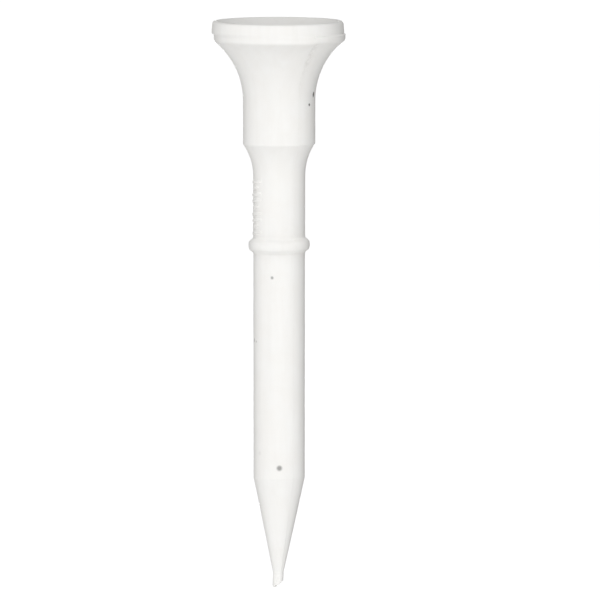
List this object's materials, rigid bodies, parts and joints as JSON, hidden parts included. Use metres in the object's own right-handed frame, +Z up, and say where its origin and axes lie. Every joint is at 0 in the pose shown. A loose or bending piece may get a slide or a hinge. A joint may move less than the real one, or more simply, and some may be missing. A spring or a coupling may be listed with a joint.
{
  "type": "golf tee",
  "caption": "Moulded plastic golf tee: dished cup on a flared head, straight barrel, neck with raised bars, ring that stops it at the ground, straight shank and tapered point.",
  "frame": {"origin": "on the axis at the ground line, which is the underside of the stop ring and the top of the shank", "axes": "+Z up along the tee's axis, towards the cup; -Y is the front, with the raised bars to the left of it and the parting line to the right of it"},
  "size_m": [0.0122, 0.0122, 0.053],
  "materials": {
    "moulded_plastic": "satin"
  },
  "bodies": {
    "root": {"cup": "moulded_plastic", "flare": "moulded_plastic", "barrel": "moulded_plastic", "shoulder": "moulded_plastic", "neck": "moulded_plastic", "neck_bars": "moulded_plastic", "stop_ring": "moulded_plastic", "shank": "moulded_plastic", "point": "moulded_plastic", "gate_nub": "moulded_plastic", "parting_ridges": "moulded_plastic"}
  },
  "joints": []
}
